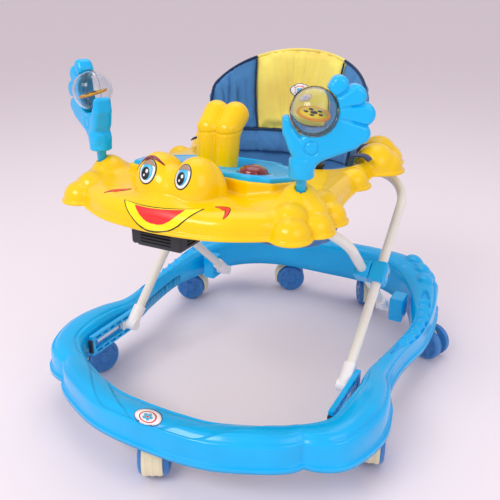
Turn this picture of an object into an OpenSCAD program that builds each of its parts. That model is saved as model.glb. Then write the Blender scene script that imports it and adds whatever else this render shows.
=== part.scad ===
// Baby walker: a moulded base ring on seven casters, a folding scissor of two bent
// steel tubes, and a play tray with a soft seat, a handle, two rattle hands and two buttons.
// Millimetres. +Z up, the face of the tray looks along -Y, the origin is on the floor
// under the middle of the base.

/* [Base ring] */
// Height of the lower edge of the ring above the floor
ring_z = 60; // [58:1:64]
// Wall thickness of the moulded shells
wall = 3.5; // [3:0.5:4]
// Cross-sections round the ring
ring_sections = 84; // [56:28:112]

/* [Casters] */
// Wheel diameter
wheel_d = 55; // [50:1:55]
// Distance from the swivel axis back to the axle
trail = 16; // [14:1:18]
// Radius of the swivel stem
stem_r = 4; // [3.5:0.5:4.5]
// Radius of the steel axle
axle_r = 3; // [2.5:0.5:3]

/* [Scissor frame] */
// Radius of the steel tubes
tube_r = 7; // [6:0.5:7]
// Half the distance between the legs of the outer tube
outer_x = 181; // [178:1:182]
// Half the distance between the legs of the inner tube
inner_x = 157; // [156:1:160]
// Length of each tube from its lower to its upper pivot
leg_len = 346; // [344:1:348]
// Angle of the legs above the floor at the top height
leg_angle = 42; // [40:1:43]
// Bend radius of the outer tube
outer_bend = 55; // [45:5:60]
// Bend radius of the inner tube
inner_bend = 100; // [80:10:110]

/* [Tray and toys] */
// Height of the lower rim of the tray
tray_z = 330; // [328:1:332]
// Diameter of the clear rattle balls
ball_d = 50; // [46:1:50]
// Diameter of the push buttons
button_d = 38; // [34:1:40]
// Travel of the push buttons
button_travel = 3; // [2:0.5:3]

/* [Seat] */
// Height of the bottom of the seat
seat_bottom_z = 205; // [200:5:230]
// Height of the top of the backrest
back_top_z = 495; // [470:5:500]

/* [Hidden] */

$fn = 48;
fit = 0.05;          // running clearance on a radius
gap = 0.3;           // space between neighbouring pieces

rear_y = 156;        // lower pivot of the inner tube
pivot_z = 81;        // height of both lower pivots
span = leg_len * cos(leg_angle);
rise = leg_len * sin(leg_angle);
front_y = rear_y - span;
mid_y = rear_y - span / 2;
mid_z = pivot_z + rise / 2;
top_z = pivot_z + rise;
clamp_x = (outer_x + inner_x) / 2;

post = [141, -180];  // where the rattle hands stand
hand_turn = 28;      // the hands face outwards by this angle
ball_out = 11;       // ball centre, out from the post
ball_z = 462;
panel_slope = 8.4;   // the toy panel rises towards the face
panel_rear = [0, -14, 356];
panel_thick = 14;
button_at = [66, 138];   // across, and up the panel's slope from its rear edge
hole_xy = [92, -2];  // rubber plugs beside the seat opening

// Right-hand half of the base ring: outer x, y, inner x, y, height of the crown
base_half = [
    [0, -317, 0, -271, 104], [79, -311, 64, -266, 104], [142, -288, 116, -249, 105],
    [192, -261, 160, -226, 104], [236, -229, 194, -197, 107], [258, -165, 201, -158, 110],
    [252, -108, 203, -112, 107], [236, -58, 200, -66, 102], [237, 6, 212, -5, 102],
    [250, 80, 220, 84, 103], [249, 160, 206, 150, 112], [234, 225, 178, 208, 122],
    [188, 285, 138, 246, 130], [100, 313, 80, 266, 126], [0, 317, 0, 268, 124]];

// Right-hand half of the tray: outer x, y, opening x, y, height of the crown
tray_half = [
    [0, -271, 0, -12, 22], [60, -268, 40, -12, 22], [106, -258, 78, -8, 22],
    [150, -243, 104, 8, 22], [182, -205, 116, 26, 22], [191, -160, 122, 42, 22],
    [181, -100, 126, 56, 20], [158, -50, 127, 66, 18], [153, 20, 124, 78, 16],
    [166, 66, 118, 92, 16], [181, 118, 106, 108, 18], [160, 170, 84, 126, 18],
    [90, 189, 44, 137, 16], [0, 192, 0, 139, 16]];

// Domes on the tray: x, y, radius, height of the centre
tray_domes = [
    [30, -212, 36, 369], [0, -216, 62, 314], [141, -182, 48, 327], [142, -222, 26, 341],
    [165, -188, 25, 341], [170, -148, 24, 341], [116, -214, 24, 341], [158, 120, 26, 343],
    [148, 150, 26, 343], [150, 88, 24, 341]];

// Casters: stem x, y, direction of the axle
front_c = [0, -296, 28];
front_left_c = [-235, -145, -16];
front_right_c = [235, -145, 16];
side_left_c = [-226, 172, 110];
side_right_c = [226, 172, -110];
rear_left_c = [-94, 290, -62];
rear_right_c = [94, 290, 28];

function spline(a, b, c, d, t) = 0.5 * (2 * b + (c - a) * t
    + (2 * a - 5 * b + 4 * c - d) * t * t + (3 * b - a - 3 * c + d) * t * t * t);
function flip(v) = [-v[0], v[1], -v[2], v[3], v[4]];
function both(h) = concat(h, [for (i = [len(h) - 2 : -1 : 1]) flip(h[i])]);
function along(p, u) = let (n = len(p), i = floor(u))
    spline(p[(i + n - 1) % n], p[i % n], p[(i + 1) % n], p[(i + 2) % n], u - i);
function stations(h, count) = let (p = both(h))
    [for (i = [0 : count - 1]) along(p, i * len(p) / count)];

// A skin over rings of points; loop closes the last ring onto the first, and the end
// rings of an open skin are convex
module skin(rings, loop = false) {
    m = len(rings[0]);
    n = len(rings);
    sides = [for (i = [0 : n - (loop ? 1 : 2)], j = [0 : m - 1])
        let (k = (j + 1) % m, a = i * m, b = ((i + 1) % n) * m)
        each [[a + j, b + j, b + k], [a + j, b + k, a + k]]];
    caps = loop ? [] : [for (j = [1 : m - 2]) each [[0, j, j + 1],
        [(n - 1) * m, (n - 1) * m + j + 1, (n - 1) * m + j]]];
    polyhedron(points = [for (r = rings) each r], faces = concat(sides, caps));
}

// Cross-section of the base ring: distance in from the outer edge, and height
function ring_profile(w, top) = [
    [0, ring_z], [0, ring_z + 5], [3, ring_z + 7], [4.5, top - 20], [0.16 * w + 1.5, top - 8],
    [0.35 * w, top - 1.5], [0.55 * w, top], [0.78 * w, top - 2], [w - 2, top - 10],
    [w, top - 20], [w, ring_z + 2], [w - wall, ring_z + 2], [w - wall, top - 20],
    [w - 2 - wall, top - 12], [0.78 * w - 1, top - 5.8], [0.55 * w, top - 4],
    [0.35 * w + 1, top - 5.3], [0.16 * w + 5, top - 11.5], [8, top - 21],
    [6.5, ring_z + 9], [wall, ring_z + 6], [wall, ring_z]];

module base_ring() {
    color("deepskyblue") skin([for (v = stations(base_half, ring_sections))
        let (o = [v[0], v[1]], i = [v[2], v[3]], w = norm(i - o), d = (i - o) / w)
        [for (p = ring_profile(w, v[4])) [o[0] + d[0] * p[0], o[1] + d[1] * p[0], p[1]]]], true);
}

// One piece on the right, or its mirror image on the left
module on_side(side) {
    if (side < 0) mirror([1, 0, 0]) children();
    else children();
}

// Flat shape in the y-z plane, extruded from x0 to x1
module side_plate(x0, x1) {
    translate([x0, 0, 0]) rotate([90, 0, 90]) linear_extrude(x1 - x0) children();
}

// Straight slot with round ends, from (y0, z) to (y1, z)
module slot_2d(y0, y1, z, r) {
    translate([y0, z]) circle(r);
    translate([y1, z]) circle(r);
    translate([y0, z - r]) square([y1 - y0, 2 * r]);
}

// Guide in which a front foot slides when the walker folds
rail_x = [189, 196];
rail_y = [-184, -78];
fold_travel = 64;
module slot_rail(side) {
    color("dodgerblue") on_side(side) difference() {
        side_plate(rail_x[0], rail_x[1]) difference() {
            translate([rail_y[0], pivot_z - 16]) square([rail_y[1] - rail_y[0], 32]);
            translate([front_y - fold_travel - 14, pivot_z - 7])
                square([fold_travel + 28, 14]);
            for (i = [0 : 5]) for (z = [-13, 10])
                translate([rail_y[0] + 8 + i * 16, pivot_z + z]) square([11, 3]);
        }
    }
}

// White blocks that run in the guides and turn on the front feet
module slide_blocks() {
    color("white") for (side = [-1, 1]) on_side(side) difference() {
        side_plate(rail_x[0], rail_x[1] - 1)
            translate([front_y - 12, pivot_z - 7 + gap]) square([24, 14 - 2 * gap]);
        translate([rail_x[0] - 1, front_y, pivot_z]) rotate([0, 90, 0])
            cylinder(h = 12, r = 4 + fit);
    }
}

// Block inside the ring that carries a rear foot
module rear_bracket(side) {
    color("dodgerblue") on_side(side) difference() {
        translate([172, rear_y - 17, ring_z + 3]) cube([23, 33, 42]);
        translate([171, rear_y, pivot_z]) rotate([0, 90, 0]) cylinder(h = 22, r = 5 + fit);
    }
}

// Sleeves in the ring that take the caster stems
module caster_sockets() {
    color("dodgerblue") for (c = [front_c, front_left_c, front_right_c, side_left_c,
            side_right_c, rear_left_c, rear_right_c])
        translate([c[0], c[1], ring_z + 2]) difference() {
            cylinder(h = 32, r = 7);
            translate([0, 0, -1]) cylinder(h = 34, r = stem_r + fit);
        }
}

module at_caster(c) {
    translate([c[0], c[1], 0]) rotate([0, 0, c[2]]) children();
}

wheel_r = wheel_d / 2;
web_half = 6.7;
module caster_fork(c) {
    color("wheat") at_caster(c) difference() {
        union() {
            translate([0, 0, 50]) cylinder(h = 40, r = stem_r);
            translate([0, 0, 56]) cylinder(h = 2.5, r = 11);
            side_plate(-web_half, web_half) polygon([[-12, 34], [-10, 58], [14, 58],
                [trail + 9, 42], [trail + 9, 24], [trail, 18], [trail - 8, 20]]);
            intersection() {
                translate([-13.5, trail, wheel_r]) rotate([0, 90, 0]) difference() {
                    cylinder(h = 27, r = wheel_r + 4);
                    translate([0, 0, -1]) cylinder(h = 29, r = wheel_r + 0.8);
                }
                translate([-14, -30, 16]) cube([28, 30 + trail, 42]);
            }
        }
        translate([-20, trail, wheel_r]) rotate([0, 90, 0]) cylinder(h = 40, r = axle_r + 0.02);
    }
}

module caster_axle(c) {
    color("silver") at_caster(c) translate([-17, trail, wheel_r]) rotate([0, 90, 0])
        cylinder(h = 34, r = axle_r);
}

module caster_wheels(c) {
    color("royalblue") at_caster(c) translate([0, trail, wheel_r]) for (s = [-90, 90])
        rotate([0, s, 0]) rotate_extrude() polygon([[axle_r + fit, web_half + 0.5],
            [wheel_r, web_half + 0.5], [wheel_r, 15], [wheel_r - 3.5, 19.5],
            [0, 19.5], [0, 17.4], [axle_r + fit, 17.4]]);
}

// Moves its children from the pivot (y, z) onto a leg that leans by angle towards +Y
module lean(y, angle) {
    translate([0, y, pivot_z]) rotate([angle, 0, 0]) children();
}

// Bent tube: two legs along +Y from the pivot line and a cross bar at the far end
module bent_bar(half, bend, r, start) {
    for (s = [-1, 1]) {
        translate([s * half, start, 0]) rotate([-90, 0, 0])
            cylinder(h = leg_len - bend - start, r = r);
        translate([s * (half - bend), leg_len - bend, 0])
            rotate([0, 0, s > 0 ? 0 : 90]) rotate_extrude(angle = 90) translate([bend, 0]) circle(r);
    }
    translate([bend - half, leg_len, 0]) rotate([0, 90, 0])
        cylinder(h = 2 * (half - bend), r = r);
}

module bent_tube(half, bend) {
    color("whitesmoke") difference() {
        bent_bar(half, bend, tube_r, 9);
        bent_bar(half, bend, tube_r - 1.2, 8);
    }
}

module outer_tube() {
    lean(front_y, leg_angle) bent_tube(outer_x, outer_bend);
}

module inner_tube() {
    lean(rear_y, 180 - leg_angle) bent_tube(inner_x, inner_bend);
}

// Plastic foot: a collar over the tube's end, flat on the outside, a cross barrel and a
// stub pin outwards
module foot(x, pin_r, pin_x) {
    difference() {
        union() {
            difference() {
                translate([x, 0, 0]) rotate([-90, 0, 0]) cylinder(h = 32, r = 9.8);
                translate([pin_x[0], -20, -20]) cube([20, 60, 40]);
            }
            translate([x - 9.8, 0, 0]) rotate([0, 90, 0]) cylinder(h = 9.8 + pin_x[0] - x, r = 8.6);
            translate([x, 0, 0]) rotate([0, 90, 0]) cylinder(h = pin_x[1] - x, r = pin_r);
        }
        translate([x, 8.8, 0]) rotate([-90, 0, 0]) cylinder(h = 30, r = tube_r + 0.02);
    }
}

module front_foot(side) {
    color("white") on_side(side) lean(front_y, leg_angle) foot(outer_x, 4, [188.5, 194.6]);
}

module rear_foot(side) {
    color("white") on_side(side) lean(rear_y, 180 - leg_angle) foot(inner_x, 5, [171.6, 190]);
}

// Half clamp round one tube at the middle of the scissor
module clamp_block(x0, x1, tube_x, half_l) {
    difference() {
        translate([x0, leg_len / 2 - half_l, -13]) cube([x1 - x0, 2 * half_l, 26]);
        translate([tube_x, 0, 0]) rotate([-90, 0, 0]) cylinder(h = leg_len, r = tube_r + 0.02);
    }
}

module outer_clamp(side) {
    color("deepskyblue") on_side(side) lean(front_y, leg_angle) difference() {
        clamp_block(clamp_x + 0.2, outer_x + 11.5, outer_x, 15);
        translate([clamp_x, leg_len / 2, 0]) rotate([0, 90, 0]) cylinder(h = 4.6, r = 5 + fit);
    }
}

module inner_clamp(side) {
    color("deepskyblue") on_side(side) lean(rear_y, 180 - leg_angle) {
        clamp_block(inner_x - 11, clamp_x - 0.2, inner_x, 13);
        translate([clamp_x - 0.3, leg_len / 2, 0]) rotate([0, 90, 0]) cylinder(h = 4.5, r = 5);
    }
}

// Height of the toy panel's upper face at y
function panel_z(y) = panel_rear[2] + (panel_rear[1] - y) * tan(panel_slope);
function dome_z(d, x, y) = let (q = d[2] * d[2] - (abs(x) - d[0]) * (abs(x) - d[0])
    - (y - d[1]) * (y - d[1])) q > 0 ? d[3] + sqrt(q) : 0;
function under_panel(x, y) = abs(x) < 112 && y > -178 && y < 2 - 0.9 * max(0, abs(x) - 30);
// Height of the tray's upper face, s running from the opening (0) to the rim (1)
function tray_top(x, y, s, crown) = let (
    crest = tray_z + 6 + crown * (1 - pow(abs(2 * s - 1), 3)),
    high = max(concat([crest], [for (d = tray_domes) dome_z(d, x, y)])),
    h = s > 0.985 ? tray_z + 5 : high)
    under_panel(x, y) ? min(h, panel_z(y) - panel_thick - 1.5 - x * x / 6000) : h;
tray_steps = [0, 0.02, 0.08, 0.18, 0.3, 0.42, 0.54, 0.64, 0.73, 0.81, 0.88, 0.94, 0.975, 0.99, 1];
// One cross-section of the tray: the upper face out to the rim, then the lower face back
function tray_ring(v) = let (o = [v[0], v[1]], i = [v[2], v[3]], n = len(tray_steps) - 1)
    concat([for (s = tray_steps) let (p = i + (o - i) * s) [p[0], p[1], tray_top(p[0], p[1], s, v[4])]],
        [for (k = [n : -1 : 0]) let (s = tray_steps[k], p = i + (o - i) * s)
            [p[0], p[1], k > n - 2 || k < 2 ? tray_z : tray_top(p[0], p[1], s, v[4]) - wall]]);

module tray_shell() {
    color("gold") difference() {
        skin([for (v = stations(tray_half, 78)) tray_ring(v)], true);
        for (s = [-1, 1]) {
            translate([s * post[0], post[1], 340]) cylinder(h = 50, r = 6.4);
            translate([s * hole_xy[0], hole_xy[1], 320]) cylinder(h = 40, r = 5.3);
        }
    }
}

// Saddles under the rear of the tray that turn on the outer tube's cross bar
module rear_hinge_clips() {
    color("gold") for (x = [-95, 65]) difference() {
        union() {
            translate([x, rear_y - 12, top_z - 11]) cube([30, 24, 22]);
            translate([x + 4, rear_y - 5, top_z]) cube([22, 12, tray_z + 12 - top_z]);
        }
        translate([x - 1, rear_y, top_z]) rotate([0, 90, 0]) cylinder(h = 32, r = tube_r + fit);
    }
}

// Slotted plates under the tray in which the inner tube's cross bar slides
module front_tracks() {
    color("gold") for (x = [-48, 40]) side_plate(x, x + 8) difference() {
        translate([front_y - fold_travel - 20, top_z - 13]) square([fold_travel + 34, 40]);
        slot_2d(front_y - fold_travel - 6, front_y + 2, top_z, tube_r + 0.5);
    }
}

module music_box() {
    color("dimgray") difference() {
        translate([-42, -254, 300]) cube([70, 64, 34]);
        translate([-39, -251, 303]) cube([64, 58, 32]);
    }
}

// Moves its children onto the sloping upper face of the toy panel
module on_panel() {
    translate(panel_rear) rotate([-panel_slope, 0, 0]) children();
}

panel_half = [[0, 0], [44, -6], [56, -26], [70, -34], [88, -52], [106, -92], [110, -122],
    [98, -156], [74, -163], [48, -158], [0, -152]];
module toy_panel() {
    outline = concat(panel_half,
        [for (i = [len(panel_half) - 2 : -1 : 1]) [-panel_half[i][0], panel_half[i][1]]]);
    color("deepskyblue") on_panel() difference() {
        union() {
            difference() {
                translate([0, 0, -panel_thick]) linear_extrude(panel_thick) polygon(outline);
                translate([0, 0, -panel_thick - 1]) linear_extrude(panel_thick - 2)
                    polygon([for (p = outline) [p[0] * 0.94, -78 + (p[1] + 78) * 0.94]]);
            }
            for (s = [-1, 1]) translate([s * button_at[0], -button_at[1], -panel_thick])
                cylinder(h = panel_thick - 0.5, r = button_d / 2 + 3);
        }
        for (s = [-1, 1]) translate([s * button_at[0], -button_at[1], -panel_thick - 1])
            cylinder(h = panel_thick + 2, r = button_d / 2 + 0.4);
    }
}

// Dome on a short plug that slides in the panel
module button(side) {
    r = button_d / 2;
    color("brown") on_panel() translate([side * button_at[0], -button_at[1], 0]) rotate_extrude()
        polygon(concat([[0, button_travel - panel_thick + 1], [r, button_travel - panel_thick + 1], [r, 0]],
            [for (a = [10 : 10 : 90]) [r * cos(a), 10 * sin(a)]]));
}

// Two fat lobes side by side that bend back towards the child
module horn_handle() {
    color("gold") on_panel() translate([0, -112, 0.2]) for (s = [-1, 1]) {
        translate([s * 13, 0, 0]) cylinder(h = 46, r = 15.6);
        translate([s * 13.2, 0, 46]) sphere(r = 16.3);
        translate([s * 13.4, 0, 46]) rotate([-42, 0, 0]) cylinder(h = 24, r = 15.9);
        translate([s * 13.6, 24 * sin(42), 46 + 24 * cos(42)]) sphere(r = 17);
    }
}

module hand_posts() {
    color("deepskyblue") for (s = [-1, 1]) translate([s * post[0], post[1], 346])
        cylinder(h = 62, r = 6);
}

// Moves its children onto the right-hand post, with +X along the open hand
module on_post() {
    translate([post[0], post[1], 0]) rotate([0, 0, hand_turn]) children();
}

hand_outline = [[-13, 404], [-14, 420], [-19, 432], [-24, 446], [-22, 464], [-15.6, 464],
    [-12, 450], [36, 480], [32, 497], [40, 503], [50, 500], [56, 490], [64, 488], [70, 476],
    [76, 470], [78, 456], [76, 444], [74, 434], [64, 424], [54, 420], [24, 406], [13, 404]];
module hand(side) {
    color("deepskyblue") on_side(side) on_post() difference() {
        union() {
            translate([0, 13, 0]) rotate([90, 0, 0]) linear_extrude(26) polygon(hand_outline);
            translate([0, 0, 389]) cylinder(h = 22, r = 14);
        }
        translate([ball_out, 20, ball_z]) rotate([90, 0, 0])
            cylinder(h = 40, r = ball_d / 2 + 1.6);
        translate([0, 0, 380]) cylinder(h = 28.4, r = 6 + fit);
        translate([ball_out - 31, 0, ball_z]) rotate([0, 90, 0]) cylinder(h = 62, r = 2 + fit);
    }
}

module ball(side) {
    color("lightcyan", 0.4) on_side(side) on_post() translate([ball_out, 0, ball_z]) difference() {
        union() {
            sphere(r = ball_d / 2);
            translate([0, 0.8, 0]) rotate([90, 0, 0]) cylinder(h = 1.6, r = ball_d / 2 + 0.9);
            translate([-30, 0, 0]) rotate([0, 90, 0]) cylinder(h = 60, r = 2);
        }
        sphere(r = ball_d / 2 - 1.4);
    }
}

module disc(side) {
    color("orange") on_side(side) on_post() translate([ball_out, 0, ball_z - 3])
        rotate([12, 8, 0]) cylinder(h = 2.4, r = ball_d / 2 - 6.5, center = true);
}

// Ellipse in plan about the middle of the seat
seat_y = 62;
function oval(rx, ry, z, n = 40) =
    [for (i = [0 : n - 1]) [rx * cos(i * 360 / n), seat_y + ry * sin(i * 360 / n), z]];

module seat_sling() {
    z0 = seat_bottom_z;
    color("steelblue") difference() {
        skin([oval(60, 34, z0), oval(84, 50, z0 + 10), oval(100, 60, z0 + 50), oval(114, 66, 342),
            oval(111, 63, 342), oval(97, 57, z0 + 52), oval(81, 47, z0 + 13), oval(57, 31, z0 + 4)]);
        for (s = [-1, 1]) translate([s * 46, 34, z0 + 56]) rotate([90, 0, 0])
            cylinder(h = 74, r = 36);
    }
}

// Padded backrest: leans outwards and wraps round the sides
back_lean = 0.175;
back_thick = 13;
function back_top(a) = back_top_z - 66 + 66 * pow(max(0, sin(a)), 1.2) - (a < 0 || a > 180 ? 25 : 0);
function back_point(a, z, inset) = let (d = (z - 350) * back_lean - inset)
    [(120 + d) * cos(a), seat_y + (65 + d) * sin(a), z];
module seat_back() {
    n = 5;
    color("steelblue") skin([for (a = [-12 : 6 : 192]) let (tall = back_top(a) - 348)
        concat([for (k = [0 : n]) back_point(a, 348 + tall * k / n, -3 * sin(180 * k / n))],
            [for (k = [n : -1 : 0])
                back_point(a, 348 + tall * k / n, back_thick + 2 * sin(180 * k / n))])]);
}

// Dark tabs that hook the seat to the rim of the opening
module seat_hooks() {
    color("midnightblue") for (s = [-1, 1], p = [[135, 50], [125, 113]])
        translate([s * p[0] - 10, p[1] - 8, 358]) cube([20, 16, 4]);
}

module tray_plugs() {
    color("black") for (s = [-1, 1]) translate([s * hole_xy[0], hole_xy[1], 0]) {
        translate([0, 0, 334]) cylinder(h = 21, r = 5);
        translate([0, 0, 354]) cylinder(h = 3, r = 7);
    }
}

base_ring();
slot_rail(-1);  // slot_rail_left
slot_rail(1);  // slot_rail_right
rear_bracket(-1);  // rear_bracket_left
rear_bracket(1);  // rear_bracket_right
caster_sockets();
caster_fork(front_c);  // fork_front
caster_axle(front_c);  // axle_front
caster_wheels(front_c);  // wheels_front
caster_fork(front_left_c);  // fork_front_left
caster_axle(front_left_c);  // axle_front_left
caster_wheels(front_left_c);  // wheels_front_left
caster_fork(front_right_c);  // fork_front_right
caster_axle(front_right_c);  // axle_front_right
caster_wheels(front_right_c);  // wheels_front_right
caster_fork(side_left_c);  // fork_side_left
caster_axle(side_left_c);  // axle_side_left
caster_wheels(side_left_c);  // wheels_side_left
caster_fork(side_right_c);  // fork_side_right
caster_axle(side_right_c);  // axle_side_right
caster_wheels(side_right_c);  // wheels_side_right
caster_fork(rear_left_c);  // fork_rear_left
caster_axle(rear_left_c);  // axle_rear_left
caster_wheels(rear_left_c);  // wheels_rear_left
caster_fork(rear_right_c);  // fork_rear_right
caster_axle(rear_right_c);  // axle_rear_right
caster_wheels(rear_right_c);  // wheels_rear_right
outer_tube();
outer_clamp(-1);  // outer_clamp_left
outer_clamp(1);  // outer_clamp_right
front_foot(-1);  // front_foot_left
front_foot(1);  // front_foot_right
inner_tube();
inner_clamp(-1);  // inner_clamp_left
inner_clamp(1);  // inner_clamp_right
rear_foot(-1);  // rear_foot_left
rear_foot(1);  // rear_foot_right
slide_blocks();
tray_shell();
rear_hinge_clips();
front_tracks();
music_box();
toy_panel();
horn_handle();
seat_back();
seat_sling();
seat_hooks();
tray_plugs();
hand_posts();
button(-1);  // button_left
button(1);  // button_right
hand(-1);  // hand_left
ball(-1);  // ball_left
disc(-1);  // disc_left
hand(1);  // hand_right
ball(1);  // ball_right
disc(1);  // disc_right
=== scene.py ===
"""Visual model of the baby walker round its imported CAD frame.

Shapes are worked out in millimetres, in the frame's own axes, and MM turns them into metres
when a mesh is made.
"""
import copy
import math

import bmesh
import bpy
import numpy as np
import openvdb
from mathutils import Matrix, Vector
from mathutils.bvhtree import BVHTree


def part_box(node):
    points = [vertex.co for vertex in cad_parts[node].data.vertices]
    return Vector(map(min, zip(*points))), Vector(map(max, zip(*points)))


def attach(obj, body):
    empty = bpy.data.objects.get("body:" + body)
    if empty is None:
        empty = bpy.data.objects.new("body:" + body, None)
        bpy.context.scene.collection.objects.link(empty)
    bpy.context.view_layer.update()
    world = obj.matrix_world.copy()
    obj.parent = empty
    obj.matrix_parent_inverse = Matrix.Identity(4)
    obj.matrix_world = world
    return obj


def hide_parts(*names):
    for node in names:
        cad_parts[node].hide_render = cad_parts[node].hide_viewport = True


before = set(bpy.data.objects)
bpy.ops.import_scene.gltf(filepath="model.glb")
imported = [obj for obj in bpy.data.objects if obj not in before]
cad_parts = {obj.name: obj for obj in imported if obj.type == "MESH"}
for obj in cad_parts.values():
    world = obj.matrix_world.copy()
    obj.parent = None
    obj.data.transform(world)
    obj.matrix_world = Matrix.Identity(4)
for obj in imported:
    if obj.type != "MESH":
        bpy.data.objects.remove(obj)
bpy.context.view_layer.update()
MM = 0.001
SIDES = {"left": -1, "right": 1}


# ---------------------------------------------------------------- camera, light, floor

def aim(obj, target):
    """Turns a camera or lamp so that it looks at target, in metres."""
    obj.rotation_euler = (Vector(target) - obj.location).to_track_quat("-Z", "Y").to_euler()


def make_camera(place, azimuth, elevation, lens):
    cam = bpy.data.objects.new("camera", bpy.data.cameras.new("camera"))
    bpy.context.scene.collection.objects.link(cam)
    cam.data.lens = lens
    cam.data.sensor_width = 36
    cam.location = place
    a, e = math.radians(azimuth), math.radians(elevation)
    back = Vector((math.sin(a) * math.cos(e), -math.cos(a) * math.cos(e), math.sin(e)))
    aim(cam, cam.location - back)
    bpy.context.scene.camera = cam


def soft_light(name, place, target, size, watts, tint):
    lamp = bpy.data.objects.new(name, bpy.data.lights.new(name, "AREA"))
    bpy.context.scene.collection.objects.link(lamp)
    lamp.data.shape = "RECTANGLE"
    lamp.data.size, lamp.data.size_y = size
    lamp.data.energy = watts
    lamp.data.color = tint
    lamp.location = place
    aim(lamp, target)


def studio():
    """Pale floor with a raised rim, an even pale surround and three soft lights."""
    world = bpy.data.worlds.new("studio")
    world.use_nodes = True
    surround = world.node_tree.nodes["Background"]
    surround.inputs["Color"].default_value = (0.93, 0.83, 0.87, 1)
    surround.inputs["Strength"].default_value = 0.74
    bpy.context.scene.world = world
    soft_light("key", (-0.5, -1.9, 1.9), (0, -0.1, 0.2), (1.3, 0.7), 23, (1, 0.99, 0.97))
    soft_light("fill", (1.7, -0.9, 1.3), (0, 0, 0.2), (1.2, 1.2), 7, (0.94, 0.96, 1))
    soft_light("top", (-0.2, 0.5, 2.2), (0, 0, 0.2), (1.6, 1.6), 9, (1, 0.98, 0.99))
    floor = bpy.data.meshes.new("floor")
    bm = bmesh.new()
    sides = 64
    rings = [[bm.verts.new((r * math.cos(w), r * math.sin(w), h))
              for w in (math.tau * k / sides for k in range(sides))]
             for r, h in ((8, 0), (20, 0.25), (30, 1.6))]
    bm.faces.new(rings[0])
    for a, b in zip(rings, rings[1:]):
        for k in range(sides):
            bm.faces.new((a[k - 1], b[k - 1], b[k], a[k]))
    bm.to_mesh(floor)
    bm.free()
    obj = bpy.data.objects.new("floor", floor)
    bpy.context.scene.collection.objects.link(obj)
    material = bpy.data.materials.new("floor_paper")
    material.use_nodes = True
    shader = material.node_tree.nodes["Principled BSDF"]
    shader.inputs["Base Color"].default_value = (0.90, 0.85, 0.90, 1)
    shader.inputs["Roughness"].default_value = 0.85
    floor.materials.append(material)


bpy.context.scene.view_settings.view_transform = "Standard"
make_camera(place=(0.4014, -0.7905, 0.5782), azimuth=27.97, elevation=22.6, lens=44.74)
studio()


# ---------------------------------------------------------------- materials

def linear(r, g, b):
    """Display colour, 0 to 255, as the shader's linear colour."""
    return tuple((c / 255) ** 2.2 for c in (r, g, b)) + (1,)


def fill(node, **values):
    """Sets uniform values on a node's sockets."""
    for socket, value in values.items():
        node.inputs[socket.replace("_", " ")].default_value = value
    return node


def material(name, colour, rough, vary=0.06, grain=(500, 0.02), **sockets):
    """Procedural finish: cloudy colour, patchy roughness and a fine surface grain."""
    mat = bpy.data.materials.new(name)
    mat.use_nodes = True
    tree = mat.node_tree
    shader = fill(tree.nodes["Principled BSDF"], **sockets)
    where = tree.nodes.new("ShaderNodeTexCoord").outputs["Object"]

    def cloud(scale, detail):
        noise = fill(tree.nodes.new("ShaderNodeTexNoise"), Scale=scale, Detail=detail)
        tree.links.new(where, noise.inputs["Vector"])
        return noise.outputs["Fac"]

    ramp = tree.nodes.new("ShaderNodeValToRGB")
    base = linear(*colour)
    for stop, gain in zip(ramp.color_ramp.elements, (1 - vary, 1 + vary)):
        stop.color = tuple(min(1, c * gain) for c in base[:3]) + (1,)
    ramp.color_ramp.elements[0].position = 0.3
    ramp.color_ramp.elements[1].position = 0.7
    tree.links.new(cloud(14, 3), ramp.inputs["Fac"])
    tree.links.new(ramp.outputs["Color"], shader.inputs["Base Color"])
    spread = fill(tree.nodes.new("ShaderNodeMapRange"), To_Min=max(0, rough - 0.05),
                  To_Max=rough + 0.07)
    tree.links.new(cloud(70, 5), spread.inputs["Value"])
    tree.links.new(spread.outputs["Result"], shader.inputs["Roughness"])
    bump = fill(tree.nodes.new("ShaderNodeBump"), Strength=grain[1], Distance=0.001)
    tree.links.new(cloud(grain[0], 2), bump.inputs["Height"])
    tree.links.new(bump.outputs["Normal"], shader.inputs["Normal"])
    return mat


def fabric(name, colour, pitch, rough=0.92):
    """Woven cloth: crossing threads a pitch apart, in millimetres, with faded patches."""
    mat = material(name, colour, rough, vary=0.16, grain=(900, 0.1), Sheen_Weight=0.25,
                   Sheen_Roughness=0.5, Specular_IOR_Level=0.25)
    tree = mat.node_tree
    shader = tree.nodes["Principled BSDF"]
    where = tree.nodes.new("ShaderNodeTexCoord").outputs["Object"]
    threads = []
    for axis in ("X", "Z"):
        wave = fill(tree.nodes.new("ShaderNodeTexWave"), Scale=math.tau / (40 * MM * pitch),
                    Distortion=0.6, Detail=1)
        wave.bands_direction = axis
        tree.links.new(where, wave.inputs["Vector"])
        threads.append(wave.outputs["Fac"])
    weave = tree.nodes.new("ShaderNodeMath")
    weave.operation = "MAXIMUM"
    tree.links.new(threads[0], weave.inputs[0])
    tree.links.new(threads[1], weave.inputs[1])
    bump = fill(tree.nodes.new("ShaderNodeBump"), Strength=0.35, Distance=0.0004)
    grain = shader.inputs["Normal"].links[0].from_socket
    tree.links.new(weave.outputs["Value"], bump.inputs["Height"])
    tree.links.new(grain, bump.inputs["Normal"])
    tree.links.new(bump.outputs["Normal"], shader.inputs["Normal"])
    return mat


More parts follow.
